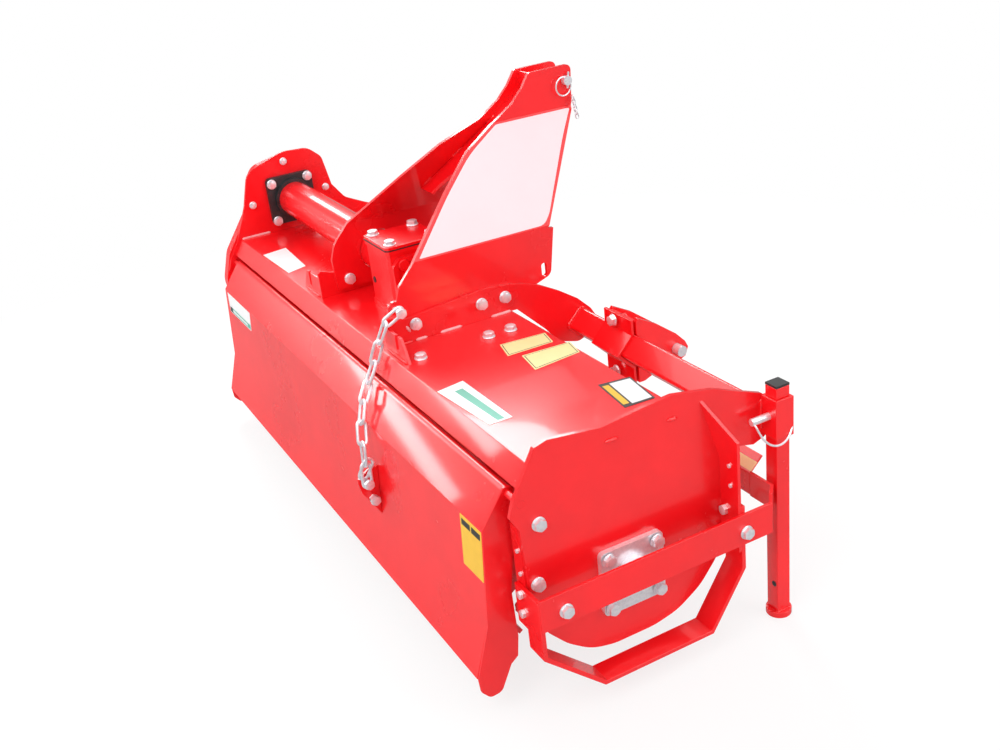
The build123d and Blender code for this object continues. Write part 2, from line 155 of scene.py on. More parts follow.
def tube(path, radius, across, sides, closed=False):
    """A circle carried along a path: point (s, t) = path(s) + radius (cos t n(s) + sin t b(s)),
    where b is square to the path and to across, and n square to both."""
    path = np.array(path, float)
    ahead = np.roll(path, -1, 0) - np.roll(path, 1, 0)
    if not closed:
        ahead[0], ahead[-1] = path[1] - path[0], path[-1] - path[-2]
    ahead /= np.linalg.norm(ahead, axis=1)[:, None]
    b = np.cross(ahead, np.array(across, float))
    b /= np.linalg.norm(b, axis=1)[:, None]
    n = np.cross(b, ahead)
    radius = np.broadcast_to(np.array(radius, float), len(path))
    t = np.arange(sides) * 2 * pi / sides
    circle = np.cos(t)[None, :, None] * n[:, None] + np.sin(t)[None, :, None] * b[:, None]
    points = path[:, None] + radius[:, None, None] * circle
    if not closed:
        points = np.concatenate([path[:1, None].repeat(sides, 1), points,
                                 path[-1:, None].repeat(sides, 1)])
    return points.reshape(-1, 3), grid_faces(len(points), sides, closed=closed)


def plate(outline, lift, thick):
    """A thin plate: the outline's points, and the same moved by lift's direction times thick,
    joined by one row of quads and closed by two faces."""
    outline = np.array(outline, float)
    n = len(outline)
    push = np.array(Vector(lift).normalized()) * thick
    points = np.concatenate([outline, outline + push])
    faces = grid_faces(2, n) + [list(range(n))[::-1], list(range(n, 2 * n))]
    return points, faces


def rounded(corners, radii):
    """Outline of a polygon with its corners rounded: at corner p a curve from p + a r to
    p + b r, where a and b point to its neighbours. It is the blend of the curve's start, p and
    the curve's end by (1-s)^2, 2s(1-s) and s^2."""
    corners = np.array(corners, float)
    before, after = np.roll(corners, 1, 0) - corners, np.roll(corners, -1, 0) - corners
    before /= np.linalg.norm(before, axis=1)[:, None]
    after /= np.linalg.norm(after, axis=1)[:, None]
    r = np.broadcast_to(np.array(radii, float), len(corners))[:, None, None]
    s = np.linspace(0, 1, 5)[None, :, None]
    start = corners[:, None] + before[:, None] * r
    end = corners[:, None] + after[:, None] * r
    curve = (1 - s) ** 2 * start + 2 * s * (1 - s) * corners[:, None] + s ** 2 * end
    return curve.reshape(-1, 3)


def ring(centre, across, radius, wire, steps=32):
    """A closed wire ring: the circle centre + radius (cos a u + sin a v), where u and v are
    square to across, given a round section."""
    square, u, v = basis(across)
    a = (np.arange(steps) * 2 * pi / steps)[:, None]
    path = np.array(centre) + radius * (np.cos(a) * np.array(u) + np.sin(a) * np.array(v))
    return tube(path, wire, square, 8, closed=True)


def oval_link(a, b, facing, wide, wire, steps=9):
    """A chain link from a to b: two half circles of diameter wide joined by straight runs, in
    the plane square to facing, given a round section of radius wire. Its wire's middle passes
    a and b by one radius of the wire, so that two links meet inside each other's ends."""
    a, b = Vector(a), Vector(b)
    ahead = (b - a).normalized()
    side = Vector(facing).normalized().cross(ahead).normalized()
    half, inner = wide / 2, wide / 2 - wire
    t = np.linspace(-pi / 2, pi / 2, steps)[:, None]
    end = half * (np.cos(t) * np.array(ahead) + np.sin(t) * np.array(side))
    far = np.array(b - ahead * inner) + end
    near = np.array(a + ahead * inner) - end
    return tube(np.concatenate([far, near]), wire, ahead.cross(side), 8, closed=True)


# Weld beads: step between their rings, length of a ripple, how much it swells, and how thin
# the ends are
BEAD_STEP, BEAD_RIPPLE, BEAD_SWELL, BEAD_THIN = 0.0016, 0.0045, 0.13, 0.3


def bead(start, end, half):
    """A weld bead: a circle carried from start to end, its radius
    half (1 + swell sin(2 pi s / ripple)), thin at both ends."""
    start, end = np.array(start), np.array(end)
    length = np.linalg.norm(end - start)
    s = np.linspace(0, 1, max(6, int(length / BEAD_STEP)))
    radius = half * (1 + BEAD_SWELL * np.sin(2 * pi * s * length / BEAD_RIPPLE))
    radius *= np.clip(np.minimum(s, 1 - s) * length / half, BEAD_THIN, 1)
    path = start + s[:, None] * (end - start)
    return tube(path, radius, basis(end - start)[1], 7)


# Input shaft: where its plain neck ends and its groove lies along it, the radii at the root
# and top of its teeth, their number, how steep they are, their radius at the end over the
# rest, points round it, and the length of its steps
SPLINE_NECK, SPLINE_GROOVE = 0.030, (0.090, 0.098)
SPLINE_ROOT, SPLINE_TOP, SPLINE_TEETH, SPLINE_STEEP, SPLINE_END = 0.0148, 0.0174, 6, 2.2, 0.95
SPLINE_POINTS, SPLINE_STEP = 96, 0.0005


def splined(place, along, length):
    """A splined shaft: point (s, t) = place + s along + r(s, t), where the radius of the teeth
    is root + (top - root) x the cosine of teeth x t, steepened and clipped to 0..1. It has a
    plain neck and a groove for the coupling's catch."""
    along, u, v = basis(along)
    t = np.arange(SPLINE_POINTS) * 2 * pi / SPLINE_POINTS
    rise = np.clip(0.5 + SPLINE_STEEP * np.cos(SPLINE_TEETH * t), 0, 1)
    tooth = SPLINE_ROOT + (SPLINE_TOP - SPLINE_ROOT) * rise
    (start, end), step = SPLINE_GROOVE, SPLINE_STEP
    rows = [(0, 0), (0, SPLINE_TOP), (SPLINE_NECK, SPLINE_TOP), (SPLINE_NECK + step, tooth),
            (start, tooth), (start + step, SPLINE_ROOT), (end - step, SPLINE_ROOT),
            (end, tooth), (length - 3 * step, tooth), (length, tooth * SPLINE_END),
            (length, 0)]
    heights = np.array([h for h, _ in rows])[:, None, None]
    radii = np.stack([r + 0 * t for _, r in rows])[..., None]
    circle = np.cos(t)[:, None] * np.array(u) + np.sin(t)[:, None] * np.array(v)
    points = np.array(place) + heights * np.array(along) + radii * circle
    return points.reshape(-1, 3), grid_faces(len(rows), SPLINE_POINTS)


def together(parts):
    """Several surfaces as one, their points one after another."""
    points, faces, start = [], [], 0
    for p, f in parts:
        points.append(p)
        faces += [[k + start for k in face] for face in f]
        start += len(p)
    return np.concatenate(points), faces


def make(name, parts, material, body, smooth=35.0):
    """Puts surfaces into one piece, closed and facing outwards, that rides on a body if it has
    one. Edges sharper than smooth degrees stay sharp."""
    points, faces = together(parts)
    mesh = bpy.data.meshes.new(name)
    mesh.from_pydata(points.tolist(), [], faces)
    shape = bmesh.new()
    shape.from_mesh(mesh)
    bmesh.ops.remove_doubles(shape, verts=shape.verts, dist=1e-6)
    bmesh.ops.recalc_face_normals(shape, faces=shape.faces)
    piece = add_piece(name, shape, mesh, smooth, material)
    if body:
        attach(piece, body)
    return piece


def add_piece(name, shape, mesh, smooth, material):
    """Writes the worked shape into the mesh, shades it, gives it a finish, and puts it into the
    scene."""
    shape.to_mesh(mesh)
    shape.free()
    mesh.shade_smooth()
    mesh.set_sharp_from_angle(angle=radians(smooth))
    mesh.materials.append(material)
    piece = bpy.data.objects.new(name, mesh)
    bpy.context.scene.collection.objects.link(piece)
    return piece


# Bolts across the machine that are part of a painted node: y, z in millimetres, and how far
# from there the faces may be that are zinc instead of paint
BOLT_FACES = {"headstock_right": [(-121, 536, 12.5)],
              "chain_plate": [(-272, 262, 12.5), (-262, 219, 10.5)]}
# In degrees: up to what bend facets are one face, and what bends are sharp and are rounded
FLAT_ANGLE, SHARP_ANGLE, EASED_ANGLE = 0.6, 28.0, 40.0


def eased(node, width, material, zinc):
    """A copy of a CAD node with its flat faces merged and its sharp edges rounded."""
    shape = bmesh.new()
    shape.from_mesh(frame["nodes"][node].data)
    bmesh.ops.remove_doubles(shape, verts=shape.verts, dist=1e-5)
    bmesh.ops.dissolve_limit(shape, angle_limit=radians(FLAT_ANGLE), verts=shape.verts,
                             edges=shape.edges)
    name = node + "_finish"
    piece = add_piece(name, shape, bpy.data.meshes.new(name), SHARP_ANGLE, material)
    mesh = piece.data
    if node in BOLT_FACES:
        mesh.materials.append(zinc)
    for y, z, reach in BOLT_FACES.get(node, ()):
        away = np.array([v.co.yz for v in mesh.vertices]) - np.array(at(0, y, z).yz)
        near = np.linalg.norm(away, axis=1) < reach / 1000
        for face in mesh.polygons:
            if near[list(face.vertices)].all():
                face.material_index = 1
    bevel = piece.modifiers.new("eased edges", "BEVEL")
    bevel.width, bevel.segments = width, 2
    bevel.limit_method, bevel.angle_limit = "ANGLE", radians(EASED_ANGLE)
    bevel.harden_normals = True
    bevel.use_clamp_overlap = True
    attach(piece, BODY[node])
    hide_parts(node)


# Finishes: roughness of the clear coat, depth of the relief, and where on the coarse noise
# one colour ends and the other begins
COAT_ROUGH, RELIEF_DEEP, DRIFT = 0.06, 0.001, (0.35, 0.7)


def finish(name, colour, other, scale, rough, metal=0.0, coat=0.0, bump=0.0, grain=400.0):
    """Colour that drifts to another over a coarse noise, roughness that drifts with it, and a
    fine noise as relief. It is made once and found again by its name."""
    known = bpy.data.materials.get(name)
    if known:
        return known
    material = bpy.data.materials.new(name)
    material.use_nodes = True
    nodes, link = material.node_tree.nodes, material.node_tree.links.new
    shader = nodes["Principled BSDF"]
    shader.inputs["Metallic"].default_value = metal
    shader.inputs["Coat Weight"].default_value = coat
    shader.inputs["Coat Roughness"].default_value = COAT_ROUGH
    place, coarse, fine, blend, drift, relief = (
        nodes.new("ShaderNode" + kind)
        for kind in ("TexCoord", "TexNoise", "TexNoise", "ValToRGB", "MapRange", "Bump"))
    coarse.inputs["Scale"].default_value = scale
    coarse.inputs["Detail"].default_value = 5
    coarse.inputs["Roughness"].default_value = 0.6
    for stop, position, shade in zip(blend.color_ramp.elements, DRIFT, (colour, other)):
        stop.position, stop.color = position, (*shade, 1)
    drift.inputs["To Min"].default_value, drift.inputs["To Max"].default_value = rough
    fine.inputs["Scale"].default_value = grain
    fine.inputs["Detail"].default_value = 3
    relief.inputs["Strength"].default_value = bump
    relief.inputs["Distance"].default_value = RELIEF_DEEP
    for noise in (coarse, fine):
        link(place.outputs["Object"], noise.inputs["Vector"])
    link(coarse.outputs["Fac"], blend.inputs["Fac"])
    link(blend.outputs["Color"], shader.inputs["Base Color"])
    link(coarse.outputs["Fac"], drift.inputs["Value"])
    link(drift.outputs["Result"], shader.inputs["Roughness"])
    link(fine.outputs["Fac"], relief.inputs["Height"])
    link(relief.outputs["Normal"], shader.inputs["Normal"])
    return material


def finishes():
    """The finishes by name, made once, from the panel's colours."""
    c = bpy.context.scene.rotavator_colours
    red, deep = tuple(c.paint), tuple(v * 0.86 for v in c.paint)
    return {
        "paint": finish("gloss red paint", red, deep, 5, (0.2, 0.32), coat=0.5, bump=0.03),
        "cast": finish("painted casting", red, deep, 30, (0.3, 0.45), coat=0.25, bump=0.5,
                       grain=260),
        # pale pink beads: a painted highlight that stands for the gloss on the weld beads
        "weld": finish("weld painted highlight", (0.95, 0.5, 0.52), (0.9, 0.36, 0.38), 90, (0.3, 0.4)),
        "zinc": finish("zinc plating", (0.93, 0.94, 0.97), (0.76, 0.77, 0.82), 160,
                       (0.22, 0.42), metal=0.6, bump=0.08, grain=700),
        "galvanised": finish("galvanised chain", (0.95, 0.95, 0.98), (0.7, 0.7, 0.76), 120,
                             (0.25, 0.45), metal=0.6, bump=0.15, grain=500),
        "black": finish("black enamel", (0.018, 0.02, 0.022), (0.035, 0.035, 0.038), 60,
                        (0.35, 0.55), bump=0.15, grain=500),
        "plastic": finish("black plastic", (0.02, 0.02, 0.021), (0.03, 0.03, 0.031), 25,
                          (0.42, 0.55), bump=0.1, grain=900),
        "steel": finish("machined steel", (0.55, 0.55, 0.56), (0.42, 0.41, 0.4), 90,
                        (0.2, 0.35), metal=1.0, bump=0.05),
        "yellow": finish("yellow label", tuple(c.label_yellow),
                         tuple(v * 0.93 for v in c.label_yellow), 40, (0.3, 0.4)),
        "white": finish("white label", (0.82, 0.83, 0.84), (0.78, 0.79, 0.8), 40, (0.28, 0.4)),
        "sign": finish("pale sign", (0.97, 0.71, 0.74), (0.94, 0.68, 0.71), 6, (0.3, 0.42)),
        "pale": finish("pale yellow label", (0.96, 0.86, 0.42), (0.91, 0.81, 0.38), 40,
                       (0.3, 0.4)),
        "green": finish("green label", (0.05, 0.42, 0.3), (0.06, 0.38, 0.28), 40, (0.3, 0.4)),
        "ink": finish("label black", (0.02, 0.02, 0.02), (0.03, 0.03, 0.03), 40, (0.3, 0.4)),
    }


class RotavatorColours(bpy.types.PropertyGroup):
    """Colours that a user would change"""
    paint: bpy.props.FloatVectorProperty(
        name="Paint", description="Gloss paint of the frame, hood and tailboard",
        subtype="COLOR", size=3, min=0, max=1, default=(0.95, 0.007, 0.012))
    label_yellow: bpy.props.FloatVectorProperty(
        name="Yellow labels", description="Ground of the blank yellow labels",
        subtype="COLOR", size=3, min=0, max=1, default=(0.85, 0.5, 0.03))
    floor: bpy.props.FloatVectorProperty(
        name="Floor", description="Colour of the studio floor",
        subtype="COLOR", size=3, min=0, max=1, default=(0.93, 0.93, 0.93))


class RotavatorSizes(bpy.types.PropertyGroup):
    """Sizes that a user would change"""
    edge: bpy.props.FloatProperty(
        name="Edge rounding", description="Rounding of the edges of cut plates",
        subtype="DISTANCE", unit="LENGTH", default=0.0011, min=0.0)
    flats: bpy.props.FloatProperty(
        name="Head across flats", description="Hexagon heads of the frame bolts",
        subtype="DISTANCE", unit="LENGTH", default=0.019, min=0.005)
    head: bpy.props.FloatProperty(
        name="Head height", description="Height of the hexagon heads",
        subtype="DISTANCE", unit="LENGTH", default=0.008, min=0.002)
    washer: bpy.props.FloatProperty(
        name="Washer radius", description="Radius of the washers under the heads",
        subtype="DISTANCE", unit="LENGTH", default=0.0125, min=0.0)
    chain_wire: bpy.props.FloatProperty(
        name="Chain wire", description="Thickness of the tailboard chain's wire",
        subtype="DISTANCE", unit="LENGTH", default=0.0065, min=0.002)
    chain_width: bpy.props.FloatProperty(
        name="Chain width", description="Outer width of a link of the tailboard chain",
        subtype="DISTANCE", unit="LENGTH", default=0.024, min=0.015)
    label: bpy.props.FloatProperty(
        name="Label thickness", description="Thickness of the blank labels",
        subtype="DISTANCE", unit="LENGTH", default=0.0005, min=0.0001)
    bead: bpy.props.FloatProperty(
        name="Weld width", description="Half width of the weld beads",
        subtype="DISTANCE", unit="LENGTH", default=0.0035, min=0.0005)


PAINTED = ("headstock_left headstock_right headstock_web bracket_left bracket_right "
           "side_plate_left side_plate_right tailboard tailboard_wing_left "
           "tailboard_wing_right chain_plate skid_left skid_right guard_left guard_right "
           "front_guard hitch_bar_left hitch_bar_right hitch_clevis_left hitch_clevis_right "
           "stand_left stand_right stand_sleeve_left stand_sleeve_right gearbox_cover "
           "drive_case hood").split()
OTHERS = {  # nodes that keep their own mesh, and their finish
    "gearbox": "cast", "cross_tube": "paint", "cross_flange": "black", "rotor": "paint",
    "rotor_bearing": "zinc", "input_shaft": "steel", "shaft_shield": "plastic",
    "lower_pin_left": "zinc", "lower_pin_right": "zinc", "top_link_pin": "zinc",
    "tailboard_chain": "galvanised", "tailboard_pivot_left": "paint",
    "tailboard_pivot_right": "paint", "stand_cap_left": "plastic",
    "stand_cap_right": "plastic",
}


class PaintPlates(bpy.types.Operator):
    """Eased, painted copies of the plates, and finishes for the other nodes"""
    bl_idname = "rotavator.paint_plates"
    bl_label = "Painted plates"

    def execute(self, context):
        coats, sizes = finishes(), context.scene.rotavator_sizes
        for node in PAINTED:
            eased(node, sizes.edge, coats["paint"], coats["zinc"])
        for node, coat in OTHERS.items():
            mesh = frame["nodes"][node].data
            mesh.materials.clear()
            mesh.materials.append(coats[coat])
        return {"FINISHED"}


def bolts(name, rows, body, sizes, coat):
    """Hexagon heads on washers at the rows' places: x, y, z in millimetres and a direction.
    A group that BOLT_SIZES doesn't list has the panel's sizes."""
    flats, washer = BOLT_SIZES.get(name, (sizes.flats, sizes.washer))
    tall = sizes.head * flats / sizes.flats
    parts = [hex_head(at(x, y, z), along, flats, tall, washer) for x, y, z, along in rows]
    return make(name, parts, coat, body)


def grouped(rows):
    """Rows whose first value is a group's name, as a list of the other values for each."""
    groups = {}
    for group, *values in rows:
        groups.setdefault(group, []).append(values)
    return groups


OUT, IN, UP, DOWN = (1, 0, 0), (-1, 0, 0), (0, 0, 1), (0, 0, -1)
REAR, FRONT = (0, -1, 0), (0, 1, 0)
SIDES = ((1, "right"), (-1, "left"))
# Bolts of the frame: group, x, y, z in millimetres, direction
FRAME_BOLTS = [
    ("bracket_bolts", 184, -86, 497, OUT), ("bracket_bolts", 184, 58, 497, OUT),
    ("bracket_bolts", 184, 111, 497, OUT), ("bracket_bolts", -184, -86, 497, IN),
    ("bracket_bolts", -184, 58, 497, IN), ("bracket_bolts", -184, 111, 497, IN),
    ("hood_bolts", 268, -119, 463, UP), ("hood_bolts", 268, 26, 463, UP),
    ("hood_bolts", 268, 74, 463, UP), ("hood_bolts", -268, -119, 463, UP),
    ("hood_bolts", -268, 26, 463, UP), ("hood_bolts", -268, 74, 463, UP),
    ("side_bolts", 754, -160, 363, OUT), ("side_bolts", 754, -173, 256, OUT),
    ("side_bolts", -754, -160, 363, IN),
    ("drive_bolts", -734, -58, 588, OUT), ("drive_bolts", -734, 39, 590, OUT),
    ("drive_bolts", -734, -59, 491, OUT), ("drive_bolts", -734, 39, 491, OUT),
    ("case_bolts", -746, -13, 637, OUT), ("case_bolts", -746, -113, 543.5, OUT),
    ("case_bolts", -746, 87, 547, OUT),
    ("foot_bolt", -168, -83, 493, OUT),
    ("clamp_bolts", 330, 269.5, 446, REAR), ("clamp_bolts", 330, 269.5, 336, REAR),
    ("clamp_bolts", -330, 269.5, 446, REAR), ("clamp_bolts", -330, 269.5, 336, REAR),
    ("guard_bolts", 806, -155, 228, OUT), ("guard_bolts", 806, 201, 227, OUT),
    ("guard_bolts", -806, -155, 228, IN), ("guard_bolts", -806, 201, 227, IN),
    ("chain_nut", 205, -121, 536, OUT),
]
BOARD_BOLTS = [(298, -272, 262, OUT), (288, -262, 219, OUT)]  # of the chain's plate
# Groups whose bolts differ from the frame's size: across flats and washer radius in metres
BOLT_SIZES = {"case_bolts": (0.014, 0.0095), "chain_nut": (0.0185, 0),
              "chain_plate_nut": (0.0175, 0)}
# Smaller fasteners at both ends, without washers: group, x, y, z, across flats, direction
SMALL_BOLTS = [
    ("flange_bolts", 746, -200, 243, 13, REAR), ("flange_bolts", 747, -200, 207, 13, REAR),
    ("rib_bolts", 764, 190, 256, 16, REAR), ("rib_bolts", 768, 190, 224, 16, REAR),
    ("rib_studs", 780, 190, 348, 7, REAR), ("rib_studs", 782, 190, 311, 7, REAR),
    ("rib_studs", 735, -192, 316, 7, REAR), ("rib_studs", 737, -192, 274, 7, REAR),
]
SMALL_TALL = 1 / 2.3  # height of a small head, over its width across flats
# Rotor bearing: height of its axis, half the spacing of its bolts, and how far its flange's
# face is behind its boss
BEARING_Z, BEARING_HALF, BEARING_BOSS = 206, 47, 12


class FrameBolts(bpy.types.Operator):
    """Bolts of the brackets, hood, side plates, drive flange and bearing"""
    bl_idname = "rotavator.frame_bolts"
    bl_label = "Frame bolts"

    def execute(self, context):
        sizes, coat = context.scene.rotavator_sizes, finishes()["zinc"]
        for group, rows in grouped(FRAME_BOLTS).items():
            bolts(group, rows, "frame", sizes, coat)
        bolts("chain_plate_nut", BOARD_BOLTS, "tailboard", sizes, coat)
        for group, rows in grouped(SMALL_BOLTS).items():
            heads = [hex_head(at(side * x, y, z), along, flats / 1000,
                              flats / 1000 * SMALL_TALL)
                     for x, y, z, flats, along in rows for side in (1, -1)]
            make(group, heads, coat, "frame")
        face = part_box("rotor_bearing")[1].x * 1000 - BEARING_BOSS
        half = (-BEARING_HALF, BEARING_HALF)
        rows = [(face, y, BEARING_Z + z, OUT) for y in half for z in half]
        bolts("bearing_bolts", rows, "frame", sizes, coat)
        return {"FINISHED"}


# The headstock's sloped face at its foot and top: height, and how far out
SLOPE_FOOT, SLOPE_TOP = (615, 176), (805, 34)


def slope_x(z):
    """How far out the headstock's sloped face is at a height."""
    (z0, x0), (z1, x1) = SLOPE_FOOT, SLOPE_TOP
    return x0 + (z - z0) / (z1 - z0) * (x1 - x0)


LABEL_GAP, LAYER_STEP = 0.0001, 0.00015  # under a label, and from one layer to the next
LABEL_ROUNDING, ZONE_ROUNDING = 0.0015, 0.0006


def sign_plate(corners, lift, thick, radii):
    """Outline of a sign with rounded corners, just proud of its face, as a thin plate."""
    lift = Vector(lift).normalized()
    return plate(rounded([at(*c) + lift * LABEL_GAP for c in corners], radii), lift, thick)


def patch(corners, lift, zone, layer, thick):
    """A zone u0, v0, u1, v1 of a four-cornered label, as a thin plate: its corners are
    the bilinear blend of the label's, and each layer stands a little prouder."""
    p = [np.array(at(*c)) for c in corners]
    u0, v0, u1, v1 = zone
    lift = Vector(lift).normalized()
    outline = [(1 - v) * ((1 - u) * p[0] + u * p[1]) + v * ((1 - u) * p[3] + u * p[2])
               for u, v in ((u0, v0), (u1, v0), (u1, v1), (u0, v1))]
    outline = np.array(outline) + np.array(lift) * (LABEL_GAP + layer * LAYER_STEP)
    return plate(rounded(outline, ZONE_ROUNDING if layer else LABEL_ROUNDING), lift, thick)


FULL = (0, 0, 1, 1)
BORDERED = [(FULL, "pale"), ((0.03, 0.05, 0.97, 0.95), "ink"),
            ((0.045, 0.075, 0.955, 0.925), "pale")]
# Labels: body, the way they face, their corners in millimetres, and zones u0, v0, u1, v1 with
# their coats
LABELS = [
    ("frame", UP, [(317, 23, 463), (327, 116, 463), (374, 106, 463), (372, 10, 463)], BORDERED),
    ("frame", UP, [(389, 30, 463), (396, 129, 463), (447, 119, 463), (458, 18, 463)], BORDERED),
    ("frame", UP, [(584, 69, 463), (594, 128, 463), (687, 114, 463), (684, 56, 463)],
     [(FULL, "ink"), ((0.3, 0.06, 0.95, 0.94), "white"), ((0.05, 0.1, 0.24, 0.9), "yellow")]),
    ("frame", UP, [(419, -158, 463), (410, -103, 463), (590, -102, 463), (590, -145, 463)],
     [(FULL, "white"), ((0.42, 0.14, 0.72, 0.97), "green")]),
    ("frame", UP, [(-574, -157, 463), (-585, -95, 463), (-413, -104, 463), (-396, -152, 463)],
     [(FULL, "white")]),
    ("tailboard", REAR, [(-691, -237.2, 354), (-503.5, -237.2, 354), (-507, -240.8, 306),
                         (-683, -240.8, 306)],
     [(FULL, "white"), ((0.02, 0.7, 0.98, 0.96), "green"), ((0.02, 0.7, 0.14, 0.96), "ink"),
      ((0.16, 0.78, 0.86, 0.88), "white")]),
    ("tailboard", REAR, [(634, -237.2, 354), (708, -237.2, 354), (708, -244, 262),
                         (638, -244, 262)],
     [(FULL, "yellow"), ((0.06, 0.07, 0.47, 0.19), "ink"), ((0.53, 0.07, 0.94, 0.19), "ink")]),
    ("frame", (0, 0.74, 0.67), [(667, 273, 284), (733, 273, 284), (733, 287, 297),
                                (667, 287, 297)], [(FULL, "pale")]),
]
# The headstock's blank sign: y, z of its corners, and their rounding
SIGN = [(-55, 618), (222, 617), (243, 634), (343, 757), (384, 801), (208, 801), (127.5, 761.5),
        (48, 703)]
SIGN_ROUNDING = (0.004, 0.012, 0.01, 0.04, 0.005, 0.004, 0.03, 0.03)


class Labels(bpy.types.Operator):
    """Blank labels and plates"""
    bl_idname = "rotavator.labels"
    bl_label = "Labels"

    def execute(self, context):
        coats, thick = finishes(), context.scene.rotavator_sizes.label
        patches = [((body, coat), corners, lift, zone, layer)
                   for body, lift, corners, zones in LABELS
                   for layer, (zone, coat) in enumerate(zones)]
        for (body, coat), rows in grouped(patches).items():
            make(f"{body}_labels_{coat}", [patch(*row, thick) for row in rows], coats[coat],
                 body)
        for side, name in SIDES:
            corners = [(side * slope_x(z), y, z) for y, z in SIGN]
            lift = (side * (SLOPE_TOP[0] - SLOPE_FOOT[0]), 0, SLOPE_FOOT[1] - SLOPE_TOP[1])
            make("headstock_sign_" + name, [sign_plate(corners, lift, thick, SIGN_ROUNDING)],
                 coats["sign"], "frame")
        return {"FINISHED"}


# Tailboard chain: the line it lies on, from its bolt on the headstock to the tailboard's plate
CHAIN = [(197, -121, 536), (198, -161, 517), (199, -175, 475), (202, -198, 434),
         (238, -243, 384), (272, -262, 330), (292, -272, 262)]
CHAIN_LINKS = 9
SPARE_LINK = ((284.3, -258, 302), (284.3, -277, 272))  # hangs free beside the plate


class TailboardChain(bpy.types.Operator):
    """Chain of welded wire links that holds the tailboard"""
    bl_idname = "rotavator.tailboard_chain"
    bl_label = "Tailboard chain"

    def execute(self, context):
        sizes = context.scene.rotavator_sizes
        line = np.array([at(*p) for p in CHAIN])
        span = np.linalg.norm(np.diff(line, axis=0), axis=1)
        way = np.concatenate([[0], np.cumsum(span)])
        wire = sizes.chain_wire / 2
        wide = sizes.chain_width - 2 * wire  # between the middles of a link's two runs
        slack = wide / 2 - wire
        pitch = (way[-1] + 2 * slack) / CHAIN_LINKS

        def on_line(s):
            k = int(np.clip(np.searchsorted(way, s) - 1, 0, len(span) - 1))
            return Vector(line[k] + (line[k + 1] - line[k]) * (s - way[k]) / span[k])

        parts = [oval_link(*(at(*p) for p in SPARE_LINK), OUT, wide, wire)]
        for k in range(CHAIN_LINKS):
            a, b = on_line(pitch * k - slack), on_line(pitch * (k + 1) - slack)
            ahead = (b - a).normalized()
            flat = (Vector(OUT) - ahead * ahead.x).normalized()
            facing = ahead.cross(flat) if k % 2 else flat
            parts.append(oval_link(a, b, facing, wide, wire))
        chain = make("tailboard_chain_links", parts, finishes()["galvanised"], None)
        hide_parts("tailboard_chain")
        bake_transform(chain)
        return {"FINISHED"}


# Safety chain of the top pin: its two ends in millimetres, its links, and their width and wire
PIN_CHAIN = ((44, 389, 826), (54, 391, 782))
PIN_LINKS, PIN_LINK_WIDE, PIN_LINK_WIRE = 6, 0.007, 0.0012
# Linch pin of the top pin: its profile, how far in from the pin's end and how far below its
# middle it starts, and its ring's radius, wire and place from there
LINCH = [(0, 0), (0.0022, 0.0005), (0.0022, 0.033), (0, 0.034)]
LINCH_IN, LINCH_DROP = 0.005, 0.016
LINCH_RING, LINCH_WIRE, LINCH_RING_AT = 0.019, 0.0016, (0.001, -0.010, -0.010)
# Hole in the rear of the right stand's leg: its place in millimetres, and its black disc,
# painted shade that stands for the hole
LEG_HOLE, LEG_HOLE_SHADE = (778, 284, 69), (0.0055, 0.0004)
# Lock pins of the stands: height in millimetres, radius, how far and deep their ends are cut
# back, and how far they stand out behind and before the sleeve; then how far out and down
# their wire loops reach, and the wire's radius
LOCK_Z, LOCK_R, LOCK_EASE, LOCK_CUT = 407, 0.0066, 0.001, 0.0008
LOCK_REAR, LOCK_FRONT = 0.003, 0.006
LOOP_OUT, LOOP_DROP, LOOP_WIRE = 0.024, 0.046, 0.0019


class Clips(bpy.types.Operator):
    """Linch pin with its ring, the safety chain, the lock pins of the stands with their
    wire loops, and black discs that are painted shade of holes in the stands' legs"""
    bl_idname = "rotavator.clips"
    bl_label = "Rings and clips"

    def execute(self, context):
        coats = finishes()
        # black discs on the stands' legs: painted shade of a hole
        x, y, z = LEG_HOLE
        for side, name in SIDES:
            hole_shade = turned(drum(*LEG_HOLE_SHADE), at(side * x, y, z), REAR)
            make(f"stand_{name}_hole", [hole_shade], coats["black"], "stand_" + name)

        end = middle("top_link_pin")
        end.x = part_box("top_link_pin")[1].x - LINCH_IN
        pin = turned(LINCH, end - Vector((0, 0, LINCH_DROP)), (0, 0.15, 1), 12)
        loop = ring(end + Vector(LINCH_RING_AT), (1, 0.1, 0), LINCH_RING, LINCH_WIRE)
        make("top_pin_clip", [pin, loop], coats["zinc"], "frame")

        start, stop = (at(*p) for p in PIN_CHAIN)
        step = (stop - start) / PIN_LINKS
        links = [oval_link(start + step * k, start + step * (k + 1.15),
                           OUT if k % 2 else FRONT, PIN_LINK_WIDE, PIN_LINK_WIRE, 7)
                 for k in range(PIN_LINKS)]
        make("top_pin_chain", links, coats["zinc"], "frame")

        for side, name in SIDES:
            low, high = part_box("stand_sleeve_" + name)
            x, z = (low.x + high.x) / 2, at(0, 0, LOCK_Z).z
            rear, front = low.y - LOCK_REAR, high.y + LOCK_FRONT
            long, slim = front - rear, LOCK_R - LOCK_CUT
            bar = turned([(0, 0), (slim, 0), (LOCK_R, LOCK_EASE), (LOCK_R, long - LOCK_EASE),
                          (slim, long), (0, long)], (x, rear, z), FRONT, 20)
            t = np.linspace(0, pi, 25)
            loop = np.stack([x + side * LOOP_OUT * np.sin(t) ** 0.5,
                             (rear + front) / 2 - (long / 2 - LOCK_REAR) * np.cos(t),
                             z - LOOP_DROP * np.sin(t)], 1)
            make("stand_clip_" + name, [bar, tube(loop, LOOP_WIRE, OUT, 8)],
                 coats["zinc"], "frame")
        return {"FINISHED"}


